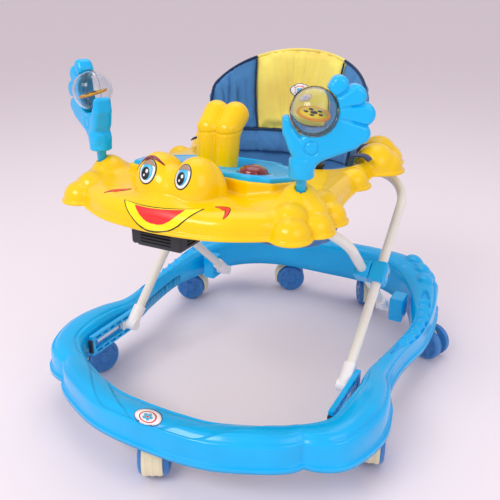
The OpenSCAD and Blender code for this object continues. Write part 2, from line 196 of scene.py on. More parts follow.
GLOSS = dict(Coat_Weight=0.22, Coat_Roughness=0.06, Specular_IOR_Level=0.34)
BASE_BLUE = material("base_blue_plastic", (0, 182, 250), 0.2, **GLOSS)
TOY_BLUE = material("toy_blue_plastic", (12, 182, 246), 0.24, **GLOSS)
YELLOW = material("tray_yellow_plastic", (254, 206, 0), 0.19, **GLOSS)
CREAM = material("caster_cream_plastic", (232, 222, 186), 0.35)
WHEEL_BLUE = material("wheel_blue_plastic", (58, 128, 196), 0.28, **GLOSS)
STEEL = material("axle_steel", (190, 192, 195), 0.25, Metallic=1.0)
ENAMEL = material("tube_enamel", (238, 238, 230), 0.22, vary=0.03, **GLOSS)
WHITE = material("foot_white_plastic", (246, 246, 246), 0.3, vary=0.03)
BOX_BLACK = material("box_black_plastic", (40, 42, 48), 0.42)
RUBBER = material("plug_rubber", (24, 24, 28), 0.5)
RED = material("button_red_plastic", (128, 14, 24), 0.12, Coat_Weight=0.8,
               Coat_Roughness=0.04)
CLEAR = material("ball_clear_plastic", (244, 248, 252), 0.04, vary=0.01, grain=(300, 0.002),
                 Transmission_Weight=1.0, IOR=1.3)
ORANGE = material("disc_orange_print", (247, 160, 30), 0.35)
DISC_YELLOW = material("disc_yellow_print", (255, 214, 40), 0.35)
DENIM = fabric("seat_denim", (72, 126, 180), 1.1)
PALE_YELLOW = fabric("seat_yellow_cotton", (255, 227, 112), 0.9)
NAVY = fabric("piping_navy", (30, 54, 90), 0.8)
INK_BLACK = material("ink_black", (18, 18, 26), 0.3, vary=0.02)
INK_WHITE = material("ink_white", (250, 250, 250), 0.3, vary=0.02)
INK_SKY = material("ink_sky", (74, 190, 232), 0.3, vary=0.12)
INK_LID = material("ink_lid", (172, 140, 120), 0.3, vary=0.15)
INK_RED = material("ink_red", (240, 50, 52), 0.3, vary=0.04)
INK_LEMON = material("ink_lemon", (255, 238, 20), 0.3, vary=0.02)
NAVY_INK = material("ink_navy", (40, 52, 120), 0.3, vary=0.02)
SOCKET_BLUE = material("socket_blue_plastic", (24, 120, 200), 0.35)


# ---------------------------------------------------------------- mesh helpers

def piece(name, verts, faces, mat, body, slot, replaces=(), smooth=True, lining=None):
    """A mesh piece from points in millimetres, riding on a CAD body. Faces from number
    lining onwards are the wall of a cavity and look into it."""
    mesh = bpy.data.meshes.new(name)
    mesh.from_pydata([tuple(float(c) * MM for c in v) for v in verts], [], faces)
    mesh.validate()
    bm = bmesh.new()
    bm.from_mesh(mesh)
    bmesh.ops.recalc_face_normals(bm, faces=bm.faces)
    if lining is not None:
        bm.faces.ensure_lookup_table()
        for face in bm.faces[lining:]:
            face.normal_flip()
    bm.to_mesh(mesh)
    bm.free()
    mesh.materials.append(mat)
    obj = bpy.data.objects.new(name, mesh)
    bpy.context.scene.collection.objects.link(obj)
    for p in mesh.polygons:
        p.use_smooth = smooth
    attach(obj, body)
    if replaces:
        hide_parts(*replaces)
    return obj


def grid_faces(rows, cols, wrap_rows=False, wrap_cols=False, start=0):
    """Quads over a rows by cols sheet of points."""
    faces = []
    for i in range(rows if wrap_rows else rows - 1):
        for j in range(cols if wrap_cols else cols - 1):
            a, b = i * cols, (i + 1) % rows * cols
            k = (j + 1) % cols
            faces.append((start + a + j, start + b + j, start + b + k, start + a + k))
    return faces


def spline(a, b, c, d, t):
    return 0.5 * (2 * b + (c - a) * t + (2 * a - 5 * b + 4 * c - d) * t * t
                  + (3 * b - a - 3 * c + d) * t ** 3)


def closed_curve(points, count):
    """Smooth closed curve through points, sampled evenly from knot to knot."""
    p = np.array(points, float)
    n = len(p)
    out = []
    for k in range(count):
        u = k * n / count
        i = int(u)
        out.append(spline(p[i - 1], p[i % n], p[(i + 1) % n], p[(i + 2) % n], u - i))
    return np.array(out)


def open_curve(points, per):
    """Smooth curve through points, with per samples between neighbours."""
    p = np.array(points, float)
    p = np.vstack([2 * p[0] - p[1], p, 2 * p[-1] - p[-2]])
    out = [spline(*p[i:i + 4], t / per) for i in range(len(p) - 3) for t in range(per)]
    return np.array(out + [p[-2]])


def mirrored(half, signs):
    """A closed outline from its right-hand half; signs flips the x columns."""
    left = [tuple(c * s for c, s in zip(row, signs)) for row in half[-2:0:-1]]
    return list(half) + left


def tube(points, radius, sides=12, closed=False):
    """Points and faces of a round tube along points."""
    p = np.array(points, float)
    n = len(p)
    verts = []
    side = None
    for i in range(n):
        a = p[i - 1] if i or closed else p[i]
        b = p[(i + 1) % n] if i + 1 < n or closed else p[i]
        t = Vector(b - a).normalized()
        if side is None:
            side = t.orthogonal().normalized()
        side = (side - t * side.dot(t)).normalized()
        up = t.cross(side)
        r = radius[i] if hasattr(radius, "__len__") else radius
        verts += [Vector(p[i]) + (side * math.cos(w) + up * math.sin(w)) * r
                  for w in (math.tau * j / sides for j in range(sides))]
    faces = grid_faces(n, sides, wrap_rows=closed, wrap_cols=True)
    if not closed:
        faces += [tuple(range(sides)), tuple((n - 1) * sides + j for j in range(sides))]
    return [tuple(v) for v in verts], faces


def lathe(profile, sides=64):
    """Points and faces of a closed (radius, height) outline turned about Z."""
    verts, rows = [], []
    for r, z in profile:
        rows.append([len(verts) + j for j in range(sides if r > 1e-6 else 1)])
        verts += [(r * math.cos(math.tau * j / sides), r * math.sin(math.tau * j / sides), z)
                  for j in range(len(rows[-1]))]
    faces = []
    for a, b in zip(rows, rows[1:]):
        for j in range(sides):
            k = (j + 1) % sides
            loop = [a[j % len(a)], b[j % len(b)], b[k % len(b)], a[k % len(a)]]
            loop = [v for i, v in enumerate(loop) if v != loop[i - 1]]
            if len(loop) > 2:
                faces.append(tuple(loop))
    return verts, faces


def placed(verts, matrix):
    return [tuple(matrix @ Vector(v)) for v in verts]


def joined(*parts):
    """Several (points, faces) pairs as one."""
    verts, faces = [], []
    for v, f in parts:
        faces += [tuple(len(verts) + i for i in face) for face in f]
        verts += list(v)
    return verts, faces


# ---------------------------------------------------------------- solids as distances

class Grid:
    """Regular grid on which shapes are distances, negative inside, in millimetres."""

    def __init__(self, low, high, step):
        self.low, self.step = np.array(low, float), step
        self.count = [int((b - a) / step) + 2 for a, b in zip(low, high)]
        self.x, self.y, self.z = np.meshgrid(
            *[a + step * np.arange(n, dtype=np.float32) for a, n in zip(low, self.count)],
            indexing="ij", sparse=True)

    def folded(self):
        """This grid with the left side measured as the right one."""
        other = copy.copy(self)
        other.x = np.abs(self.x)
        return other

    def flattened(self):
        """This grid with every point brought to y = 0."""
        other = copy.copy(self)
        other.y = 0 * self.y
        return other

    def ball(self, centre, radius):
        x, y, z = centre
        return np.sqrt((self.x - x) ** 2 + (self.y - y) ** 2 + (self.z - z) ** 2) - radius

    def egg(self, centre, radii):
        d = [(p - c) / r for p, c, r in zip((self.x, self.y, self.z), centre, radii)]
        reach = np.sqrt(d[0] ** 2 + d[1] ** 2 + d[2] ** 2)
        slope = np.sqrt(sum((q / r) ** 2 for q, r in zip(d, radii)))
        return reach * (reach - 1) / np.maximum(slope, 1e-6)

    def limb(self, a, b, ra, rb):
        """Rod with round ends, from radius ra at a to rb at b."""
        a, b = np.array(a, float), np.array(b, float)
        ab = b - a
        p = [self.x - a[0], self.y - a[1], self.z - a[2]]
        h = np.clip((p[0] * ab[0] + p[1] * ab[1] + p[2] * ab[2]) / ab.dot(ab), 0, 1)
        away = sum((q - c * h) ** 2 for q, c in zip(p, ab))
        return np.sqrt(away) - (ra + (rb - ra) * h)

    def brick(self, centre, half, edge=0):
        q = [np.abs(p - c) - (h - edge) for p, c, h in zip((self.x, self.y, self.z), centre, half)]
        out = np.sqrt(sum(np.maximum(v, 0) ** 2 for v in q))
        return out + np.minimum(np.maximum(np.maximum(q[0], q[1]), q[2]), 0) - edge

    def mesh(self, field):
        far = 9.0
        grid = openvdb.FloatGrid(far)
        grid.copyFromArray(np.array(np.broadcast_to(field, self.count), np.float32))
        points, quads = grid.convertToQuads()
        return points * self.step + self.low, [tuple(int(i) for i in q) for q in quads]


def moulding(name, grid, field, mat, body, slot, replaces, at=None):
    """A piece from a field on a grid, placed by the matrix at if there is one."""
    verts, faces = grid.mesh(field)
    if at is not None:
        verts = placed(verts, at)
    return piece(name, verts, faces, mat, body, slot, replaces=(replaces,))


def blend(a, b, k):
    """Union of two fields with a fillet about k wide."""
    h = np.clip(0.5 + 0.5 * (b - a) / k, 0, 1)
    return b * (1 - h) + a * h - k * h * (1 - h)


def carve(a, b, k=0.5):
    """Field a with b cut away."""
    return -blend(-a, b, k)


def prism(flat, height, low, high, edge):
    """Solid over a flat outline's distance, from low to high, with rounded edges."""
    q = [flat + edge, np.abs(height - (low + high) / 2) - (high - low) / 2 + edge]
    out = np.sqrt(np.maximum(q[0], 0) ** 2 + np.maximum(q[1], 0) ** 2)
    return out + np.minimum(np.maximum(q[0], q[1]), 0) - edge


def outline_distance(points, x, y):
    """Distance from the closed outline through points, negative inside it."""
    x, y = np.broadcast_arrays(x, y)
    best = np.full(x.shape, 1e9, np.float32)
    inside = np.zeros(x.shape, bool)
    for (ax, ay), (bx, by) in zip(points, np.roll(points, -1, axis=0)):
        dx, dy = bx - ax, by - ay
        h = np.clip(((x - ax) * dx + (y - ay) * dy) / (dx * dx + dy * dy + 1e-9), 0, 1)
        best = np.minimum(best, (x - ax - h * dx) ** 2 + (y - ay - h * dy) ** 2)
        if ay != by:
            inside ^= ((ay > y) != (by > y)) & (x < dx * (y - ay) / dy + ax)
    best = np.sqrt(best)
    return np.where(inside, -best, best)


# ---------------------------------------------------------------- base ring

RING_Z = 60
WALL = 3.5
PROFILE_STEPS = 8         # points between two knots of the ring's profile
# Right-hand half of the ring: outer x, y, inner x, y, height of the crown
BASE_HALF = [
    (0, -317, 0, -271, 104), (79, -311, 64, -266, 104), (142, -288, 116, -249, 105),
    (192, -261, 160, -226, 104), (236, -229, 194, -197, 107), (258, -165, 201, -158, 110),
    (252, -108, 203, -112, 107), (236, -58, 200, -66, 102), (237, 6, 212, -5, 102),
    (250, 80, 220, 84, 103), (249, 160, 206, 150, 112), (234, 225, 178, 208, 122),
    (188, 285, 138, 246, 130), (100, 313, 80, 266, 126), (0, 317, 0, 268, 124)]
NOTCH = (194, -261)      # sharp nick between the front bar and the side
# Finger lobes of the rear corners: x, y and radius
REAR_LOBES = [(222, 214, 17), (211, 244, 18), (190, 270, 19)]
LEAF = (-24, 178)         # where the leaf-shaped hollow of each side begins and ends
LEAF_RIBS = range(150, 23, -21)
FACET_STARTS = (165, 112)  # where the front bar's two sweeping facets begin


def smooth(edge0, edge1, v):
    t = min(1, max(0, (v - edge0) / (edge1 - edge0)))
    return t * t * (3 - 2 * t)


def ring_detail(x, y, f, width):
    """Relief on the ring's upper face at x, y; f runs from the outer edge to the inner."""
    ax = abs(x)
    z = 0.0
    if LEAF[0] < y < LEAF[1] and ax > 170:  # leaf-shaped hollow with cross ribs
        u = (y - LEAF[0]) / (LEAF[1] - LEAF[0])
        half = 0.34 * math.sin(math.pi * u) ** 0.6
        inside = smooth(1.0, 0.8, abs(f - 0.5) / max(half, 0.01))
        z -= 6.0 * inside
        for rib in LEAF_RIBS:
            off = y - rib + 0.35 * (f - 0.5) * width
            z += 6.0 * inside * math.exp(-(off / 4.8) ** 2)
    if y > -235 and ax > 60:                # bead along the outer edge
        z -= 2.2 * math.exp(-((f - 0.2) * width / 1.6) ** 2)
    if -230 < y < -40:                      # crease by the inner edge
        z -= 2.0 * math.exp(-((f - 0.8) * width / 1.7) ** 2)
    if y < -225 and ax < 200:               # sweeping facets of the front bar
        for start in FACET_STARTS:
            line = 0.9 - 0.75 * smooth(start, start - 105, ax)
            across = smooth(0, 0.05, f - line) * smooth(0.95, 0.85, f)
            z -= 2.6 * across * smooth(start + 30, start, ax)
        z += 1.2 * smooth(70, 30, ax)
    for lx, ly, r in REAR_LOBES:            # finger domes of the rear corners
        d = math.hypot(ax - lx + 9, y - ly + 6) / (r * 0.85)
        if d < 1:
            z += 8 * math.sqrt(1 - d * d)
    if y > 225 and ax < 150:                # scalloped crest of the rear bar
        ends = smooth(8, 18, ax) * smooth(72, 58, ax)
        z += 2.6 * abs(math.sin(math.pi * ax / 13)) * ends * math.exp(-((f - 0.8) / 0.22) ** 2)
    return z


def lobe_push(x, y):
    """How far the outer edge moves outwards at x, y: out at the rear lobes, in at the nick."""
    ax = abs(x)
    push = 0.0
    for lx, ly, r in REAR_LOBES:
        d = math.hypot(ax - lx, y - ly)
        if d < r:
            push = max(push, 7 * math.sqrt(1 - (d / r) ** 2))
    d = math.hypot(ax - NOTCH[0], y - NOTCH[1])
    return push - 9 * math.exp(-d / 13)


def base_moulding():
    """Hollow ring open underneath, lofted through its cross sections."""
    sections = 760
    rings = closed_curve(mirrored(BASE_HALF, (-1, 1, -1, 1, 1)), sections)
    verts = []
    for ox, oy, ix, iy, top in rings:
        outer, inner = Vector((ox, oy)), Vector((ix, iy))
        inwards = (inner - outer).normalized()
        outer = outer - inwards * lobe_push(ox, oy)
        w = (inner - outer).length
        skin = open_curve([(0, RING_Z + 5), (0.4, RING_Z + 6.4), (3, RING_Z + 7.5),
                           (4.2, RING_Z + 12), (4.5, top - 20), (0.1 * w + 1, top - 11),
                           (0.18 * w + 1.5, top - 7), (0.35 * w, top - 1.5), (0.55 * w, top),
                           (0.78 * w, top - 2), (w - 3.4, top - 8), (w - 0.6, top - 16),
                           (w, top - 24)], PROFILE_STEPS)
        profile = [(0, RING_Z)] + [tuple(p) for p in skin] + [
            (w, RING_Z + 20), (w, RING_Z + 2), (w - WALL, RING_Z + 2), (w - WALL, top - 22),
            (w - 2 - WALL, top - 14), (0.78 * w - 1, top - 8), (0.55 * w, top - 7),
            (0.35 * w + 1, top - 9), (0.16 * w + 6, top - 14), (9, top - 22), (7.5, RING_Z + 10),
            (WALL, RING_Z + 6), (WALL, RING_Z)]
        for k, (d, z) in enumerate(profile):
            p = outer + inwards * d
            if 5 * PROFILE_STEPS < k <= len(skin) - PROFILE_STEPS:
                z += ring_detail(p.x, p.y, d / w, w)
            verts.append((p.x, p.y, z))
    faces = grid_faces(sections, len(profile), wrap_rows=True, wrap_cols=True)
    return piece("ring_moulding", verts, faces, BASE_BLUE, "base", "base_blue",
                 replaces=("base_ring",))


ring = base_moulding()


def surface_of(obj):
    """Ray-casting tree over a piece, in millimetres."""
    verts = [v.co / MM for v in obj.data.vertices]
    return BVHTree.FromPolygons(verts, [tuple(p.vertices) for p in obj.data.polygons])


def decal(name, tree, centre, normal, up, point, rows, cols, wrap, lift, mat, body, slot):
    """Thin print laid on a surface. point(i, j) gives each corner's place across and up from
    the centre; the print is cast onto the surface against the normal given."""
    reach, thickness = 60, 0.25
    n = Vector(normal).normalized()
    across = Vector(up).cross(n).normalized()
    upward = n.cross(across)
    verts = []
    for height in (lift, lift - thickness):
        for i in range(rows):
            for j in range(cols):
                a, b = point(i, j)
                start = Vector(centre) + across * a + upward * b + n * reach
                hit, face_normal, _, _ = tree.ray_cast(start, -n)
                if hit is None:
                    hit, face_normal, _, _ = tree.find_nearest(start - n * reach)
                if face_normal.dot(n) < 0:
                    face_normal = -face_normal
                verts.append(hit + face_normal * height)
    layer = rows * cols
    front = grid_faces(rows, cols, wrap_cols=wrap)
    back = [tuple(layer + i for i in reversed(f)) for f in front]
    last_row = [(rows - 1) * cols + j for j in range(cols)]
    if wrap:
        lines = [last_row + last_row[:1]]
        front.append(tuple(range(cols)))
        back.append(tuple(layer + j for j in range(cols))[::-1])
    else:
        lines = [last_row, range(cols), range(0, layer, cols), range(cols - 1, layer, cols)]
    edge = [(a, b, b + layer, a + layer) for line in lines for a, b in zip(line, line[1:])]
    return piece(name, verts, front + back + edge, mat, body, slot)


def oval(rx, ry, at=(0, 0), rings=6, sides=40):
    """Corner function of a filled ellipse for decal()."""
    def point(i, j):
        f = (i + 0.5) / (rings - 0.5)
        w = math.tau * j / sides
        return at[0] + rx * f * math.cos(w), at[1] + ry * f * math.sin(w)
    return dict(point=point, rows=rings, cols=sides, wrap=True)


def prints(name, layers, **place):
    """Prints one over another; each layer is its name, lift, ink and shape."""
    for layer, lift, ink, shape in layers:
        decal(f"{name}_{layer}", lift=lift, mat=ink, **shape, **place)


def sticker(name, size, **place):
    """Oval label with a plain ring and a five-petal flower of no maker's."""
    rx, ry = size
    layers = [("edge", 0.4, NAVY_INK, oval(rx, ry)),
              ("paper", 0.65, INK_WHITE, oval(rx - 0.9, ry - 0.9)),
              ("ring", 0.85, INK_RED, oval(rx * 0.62, ry * 0.66)),
              ("middle", 1.0, INK_WHITE, oval(rx * 0.53, ry * 0.55))]
    for k in range(5):
        w = math.tau * k / 5
        at = (rx * 0.24 * math.cos(w), ry * 0.26 * math.sin(w))
        layers.append((f"petal_{k}", 1.15, INK_SKY, oval(rx * 0.14, ry * 0.16, at, 3, 16)))
    layers.append(("heart", 1.3, INK_RED, oval(rx * 0.09, ry * 0.1, (0, 0), 3, 16)))
    prints(name, layers, **place)


sticker("ring_sticker", (20, 10), tree=surface_of(ring), centre=(0, -297, 96),
        normal=(0, -0.75, 0.66), up=(0, 0.66, 0.75), body="base", slot="base_blue")


# ---------------------------------------------------------------- tray

TRAY_Z = 330
# Right-hand half of the tray without its lobes: outer x, y, opening x, y
TRAY_HALF = [
    (0, -271, 0, -12), (60, -268, 40, -12), (104, -252, 78, -8), (140, -226, 104, 8),
    (160, -180, 116, 26), (166, -140, 122, 42), (160, -90, 126, 56), (156, -50, 127, 66),
    (153, 20, 124, 78), (152, 66, 118, 92), (160, 118, 106, 108), (150, 160, 84, 126),
    (90, 189, 44, 137), (0, 192, 0, 139)]
# Lobes on the tray's edge, each a knuckle and a fuller tip: x, y, height, radius, twice
TRAY_LOBES = [
    (140, -203, 346, 20, 147, -218, 336, 22), (153, -174, 346, 19, 161, -185, 336, 21.5),
    (151, -137, 346, 19, 162, -145, 336, 21), (142, 0, 338, 19, 142, 4, 334, 20),
    (142, 94, 342, 30, 149, 103, 334, 32), (130, 147, 344, 28, 137, 152, 334, 30)]
TRAY_WALL = 3.2
PANEL_SLOPE = math.radians(8.4)
PANEL_REAR = (-14, 356)   # y and z of the toy panel's rear edge
POST = (141, -180)
PLUGS = (92, -2)


def tray_moulding():
    """Domed shell with the four paws, the animal's head, the toy panel's seat and a lip."""
    g = Grid((-197, -277, 326), (197, 198, 412), 1.5)
    outline = closed_curve(mirrored(TRAY_HALF, (-1, 1, -1, 1)), 260)
    x, y = g.x[:, :, 0], g.y[:, :, 0]
    edge = outline_distance(outline[:, :2], x, y)
    hole = outline_distance(outline[:, 2:], x, y)
    crown = 22 - 6 * np.clip((y + 100) / 100, 0, 1)
    reach = np.clip(1 + (edge + 4) / 26, 0, 1)
    inner = np.clip(1 - hole / 16, 0, 1)
    high = TRAY_Z + 6 + crown * (1 - np.maximum(reach, inner) ** 2.4) ** (1 / 2.4)
    solid = np.maximum(g.z - high[:, :, None], edge[:, :, None] + 4)
    right = g.folded()
    lobes = None
    for kx, ky, kz, kr, tx, ty, tz, tr in TRAY_LOBES:
        tip = np.maximum(right.egg((tx, ty, tz), (tr, tr, tr * 0.92)), -(g.z - TRAY_Z + 6))
        finger = blend(right.ball((kx, ky, kz), kr), tip, 1.2)
        lobes = finger if lobes is None else blend(lobes, finger, 1.0)
    palm = blend(right.egg((136, -172, 328), (32, 34, 53)),
                 right.egg((112, -175, 322), (54, 52, 40)), 8)
    solid = blend(solid, palm, 10)
    solid = blend(solid, lobes, 4)
    muzzle = g.egg((0, -212, 320), (76, 55, 56))
    eyes = blend(right.egg((26, -213, 367), (28, 31, 39)), g.egg((0, -216, 356), (38, 30, 36)), 7)
    brow = right.egg((26, -202, 358), (32, 23, 45))
    solid = blend(solid, muzzle, 14)
    solid = blend(solid, brow, 2)
    solid = blend(solid, eyes, 1.6)
    beak = right.limb((80, -70, 346), (72, -76, 366), 12, 7)
    solid = blend(solid, beak, 2)
    # the panel's seat, in a raised surround
    above = ((g.z - PANEL_REAR[1]) * math.cos(PANEL_SLOPE)
             + (g.y - PANEL_REAR[0]) * math.sin(PANEL_SLOPE))
    panel_edge = outline_distance(PANEL_OUTLINE, x, y)[:, :, None]
    solid = blend(solid, prism(panel_edge - 6, above, -70, -5, 3), 7)
    seat = prism(panel_edge - 1.2, above, -60, 60, 0.4)
    solid = np.maximum(solid, -np.maximum(seat, -(above + 14.6)))
    solid = np.maximum(solid, -(hole[:, :, None]))
    shell = np.maximum(solid, -(solid + TRAY_WALL))
    shell = np.maximum(shell, TRAY_Z - g.z)
    # the rolled lip round the lower edge
    level = int((TRAY_Z + 3 - g.low[2]) / g.step)
    rim = solid[:, :, level][:, :, None]
    lip = prism(np.abs(rim - 0.6) - 2.9, g.z, TRAY_Z - 0.4, TRAY_Z + 4.4, 2)
    shell = blend(shell, lip, 1.5)
    for s in SIDES.values():
        for (cx, cy), radius in ((POST, 6.5), (PLUGS, 5.4)):
            shell = carve(shell, np.hypot(g.x - s * cx, g.y - cy) - radius)
    return moulding("tray_moulding", g, shell, YELLOW, "tray", "tray_yellow", "tray_shell")


PANEL_HALF = [(0, 0), (44, -6), (56, -26), (70, -34), (88, -52), (106, -92), (110, -122),
              (98, -156), (74, -163), (48, -158), (0, -152)]
PANEL_OUTLINE = np.array([(x, PANEL_REAR[0] + y * math.cos(PANEL_SLOPE))
                          for x, y in mirrored(PANEL_HALF, (-1, 1))])
tray = tray_moulding()


# ---------------------------------------------------------------- toy panel and its buttons

BUTTON = (66, -138)
BUTTON_D = 38
on_panel = (Matrix.Translation((0, PANEL_REAR[0], PANEL_REAR[1]))
            @ Matrix.Rotation(-PANEL_SLOPE, 4, "X"))


def toy_panel():
    """Panel with a raised border, a boss round each button and a stand for the handle."""
    g = Grid((-114, -168, -17), (114, 4, 6), 1.1)
    x, y = g.x[:, :, 0], g.y[:, :, 0]
    flat = outline_distance(np.array(mirrored(PANEL_HALF, (-1, 1)), float), x, y)[:, :, None]
    body = prism(flat, g.z, -14, 0, 3.2)
    well = np.hypot(np.abs(g.x) - BUTTON[0], g.y - BUTTON[1]) - BUTTON_D / 2
    boss = prism(well - 7, g.z, -12, 1.4, 2.2)
    body = blend(body, boss, 4)
    rib = prism(np.abs(flat + 9) - 1.2, g.z, -10, 0.9, 0.9)
    body = blend(body, rib, 1.5)
    stand = prism(np.hypot(g.x / 1.9, g.y + 112) - 19, g.z, -12, 1.2, 1.4)
    body = blend(body, stand, 3)
    body = carve(body, well - 0.4)
    body = carve(body, prism(flat + 4, g.z, -20, -3, 1))
    moulding("toy_panel_moulding", g, body, TOY_BLUE, "tray", "toy_blue", "toy_panel", on_panel)


def button(name, side):
    """Push dome on a short skirt."""
    r = BUTTON_D / 2
    dome = [((r - 1.2) * math.cos(w), 2 + 9.5 * math.sin(w))
            for w in (math.radians(a) for a in range(0, 91, 6))]
    profile = [(0, -10), (r, -10), (r, 0.6), (r - 0.4, 1.4), (r - 1.0, 1.7)] + dome
    profile[-1] = (0, profile[-1][1])
    verts, faces = lathe(profile)
    at = on_panel @ Matrix.Translation((side * BUTTON[0], BUTTON[1], 0))
    piece(f"button_dome_{name}", placed(verts, at), faces, RED, f"push_{name}", "button_red",
          replaces=(f"button_{name}",))


def horn():
    """Two-lobed handle, bent backwards above a crease."""
    g = Grid((-34, -20, -1), (34, 46, 84), 1.0)
    bend = math.radians(42)
    body = None
    tip = (0, 24 * math.sin(bend), 46 + 24 * math.cos(bend))
    for s in SIDES.values():
        lobe = blend(g.limb((s * 13, 0, 2), (s * 13.4, 0, 45), 15.2, 16),
                     g.limb((s * 13.4, 0.4, 46), (s * 13.6, tip[1], tip[2]), 16.2, 17), 2)
        body = lobe if body is None else blend(body, lobe, 1.5)
    body = np.maximum(body, 0.3 - g.z)
    crease = np.abs(g.z - 45 - 0.28 * g.y)
    body = body + 0.9 * np.exp(-(crease / 1.3) ** 2)
    moulding("horn_moulding", g, body, YELLOW, "tray", "tray_yellow", "horn_handle",
             on_panel @ Matrix.Translation((0, -112, 0.2)))


toy_panel()
for name, side in SIDES.items():
    button(name, side)
horn()


# ---------------------------------------------------------------- rattle hands

HAND_TURN = math.radians(28)
BALL = np.array((11, 462))  # out from the post, and height
BALL_R = 25
BALL_WALL = 1.3
HAND_FINGERS = [(36, 489, 10), (53, 478, 12), (63, 459, 12.5), (60, 439, 11.5)]


def hand_frame(side):
    turn = Matrix.Translation((POST[0], POST[1], 0)) @ Matrix.Rotation(HAND_TURN, 4, "Z")
    return Matrix.Diagonal((side, 1, 1, 1)) @ turn


def hand_field(g):
    """An open hand standing in the X-Z plane, with its fingers towards +X."""
    flat = g.flattened()
    palm = blend(flat.limb((0, 0, 404), (10, 0, 426), 13.5, 14.5),
                 flat.limb((14, 0, 428), (44, 0, 444), 15, 14), 6)
    palm = blend(palm, flat.limb((6, 0, 418), (50, 0, 434), 13, 13), 4)
    palm = blend(palm, flat.limb((40, 0, 446), (42, 0, 466), 12, 10), 4)
    thumb = blend(flat.limb((-6, 0, 424), (-14, 0, 440), 9.5, 7.2),
                  flat.limb((-15.5, 0, 441), (-17.5, 0, 453), 6.6, 4.6), 1.5)
    palm = blend(palm, thumb, 5)
    for x, z, r in HAND_FINGERS:
        reach = math.hypot(x - BALL[0], z - BALL[1])
        root = [c + (t - c) * (BALL_R + 8) / reach for c, t in zip(BALL, (x, z))]
        palm = blend(palm, flat.limb((root[0], 0, root[1]), (x, 0, z), 9, r), 0.9)
    thick = 12.6 - 2.2 * np.clip((g.z - 425) / 70, 0, 1)
    q = [palm + 6, np.abs(g.y) - thick + 6]
    body = (np.sqrt(np.maximum(q[0], 0) ** 2 + np.maximum(q[1], 0) ** 2)
            + np.minimum(np.maximum(q[0], q[1]), 0) - 6)
    cuff = prism(np.hypot(g.x, g.y) - 14.2, g.z, 389, 412, 2.5)
    body = blend(body, cuff, 1.5)
    ring = np.abs(np.hypot(g.x - 9, g.z - 424) - 7.4)
    groove = np.exp(-(ring / 1.0) ** 2)
    for (ax, az, _), (bx, bz, _) in zip(HAND_FINGERS, HAND_FINGERS[1:]):
        notch = np.array([(ax + bx) / 2, (az + bz) / 2])
        out = notch - BALL
        out = out / np.hypot(*out)
        a, b = BALL + out * (BALL_R + 5), notch + out * 12
        groove = groove + np.exp(-(flat.limb((a[0], 0, a[1]), (b[0], 0, b[1]), 0, 0) / 1.3) ** 2)
    body = body + 1.7 * groove * (np.abs(g.y) > 7)
    body = carve(body, g.ball((BALL[0], 0, BALL[1]), BALL_R + 1.6), 1)
    from_ball = np.hypot(g.x - BALL[0], g.z - BALL[1]) - BALL_R
    body = carve(body, np.maximum(from_ball - 2.4, np.abs(g.y) - 2.2), 0.5)
    body = carve(body, from_ball - 1.2, 0.8)
    body = carve(body, np.maximum(np.hypot(g.x, g.y) - 6.1, g.z - 408), 0.5)
    return body


def rattle(name, side):
    """One hand with its clear ball and printed disc; gives the points and faces of its post."""
    g = Grid((-30, -16, 386), (88, 16, 508), 1.0)
    at = hand_frame(side)
    moulding(f"hand_{name}_moulding", g, hand_field(g), TOY_BLUE, f"rattle_{name}", "toy_blue",
             f"hand_{name}", at)
    shell = [(math.cos(w), math.sin(w)) for w in (math.pi * (k / 32 - 0.5) for k in range(33))]
    outer = [(BALL_R * c, BALL_R * s) for c, s in shell]
    outer[0], outer[-1] = (0, -BALL_R), (0, BALL_R)
    flange = [(BALL_R - 0.2, -0.9), (BALL_R + 1.0, -0.7), (BALL_R + 1.0, 0.7), (BALL_R - 0.2, 0.9)]
    outer = outer[:16] + flange + outer[17:]
    r = BALL_R - BALL_WALL
    inner = [(r * c, r * s) for c, s in shell]
    inner[0], inner[-1] = (0, -r), (0, r)
    facing = Matrix.Translation((BALL[0], 0, BALL[1])) @ Matrix.Rotation(math.pi / 2, 4, "X")
    a, b = lathe(outer), lathe(inner)
    verts, faces = joined(a, (b[0], [tuple(reversed(f)) for f in b[1]]))
    piece(f"globe_{name}_shell", placed(verts, at @ facing), faces, CLEAR, f"globe_{name}",
          "ball_clear", replaces=(f"ball_{name}",), lining=len(a[1]))
    r = BALL_R - 6.5
    tilt = (at @ Matrix.Translation((BALL[0], 0, BALL[1] - 3))
            @ Matrix.Rotation(math.radians(12), 4, "X") @ Matrix.Rotation(math.radians(8), 4, "Y"))
    disc = lathe([(0, -1.2), (r - 0.5, -1.2), (r, -0.7), (r, 0.7), (r - 0.5, 1.2),
                  (r - 2.2, 1.2), (r - 2.8, 0.8), (0, 0.8)])
    piece(f"disc_{name}_plate", placed(disc[0], tilt), disc[1], ORANGE, f"globe_{name}",
          "disc_yellow", replaces=(f"disc_{name}",))
    print_face = lathe([(0, 0.7), (r - 3, 0.7), (r - 3.2, 1.25), (0, 1.25)])
    piece(f"disc_{name}_face", placed(print_face[0], tilt), print_face[1], DISC_YELLOW,
          f"globe_{name}", "disc_yellow")
    dots = []
    spot = lathe([(0, 1.2), (2.6, 1.2), (2.4, 1.7), (0, 1.8)], 20)
    for w in (math.tau * k / 5 + 0.6 for k in range(5)):
        place = Matrix.Translation((8.5 * math.cos(w), 8.5 * math.sin(w), 0))
        dots.append((placed(spot[0], place), spot[1]))
    middle = lathe([(0, 1.2), (4, 1.2), (3.6, 1.9), (0, 2.1)], 28)
    verts, faces = joined(*dots, middle)
    piece(f"disc_{name}_flower", placed(verts, tilt), faces, INK_BLACK, f"globe_{name}",
          "disc_yellow")
    post = lathe([(0, 346), (6, 346), (6, 387), (6.8, 388), (6.8, 389.2), (5.9, 390), (5.9, 407),
                  (5.4, 407.6), (0, 407.6)], 40)
    return placed(post[0], Matrix.Translation((side * POST[0], POST[1], 0))), post[1]


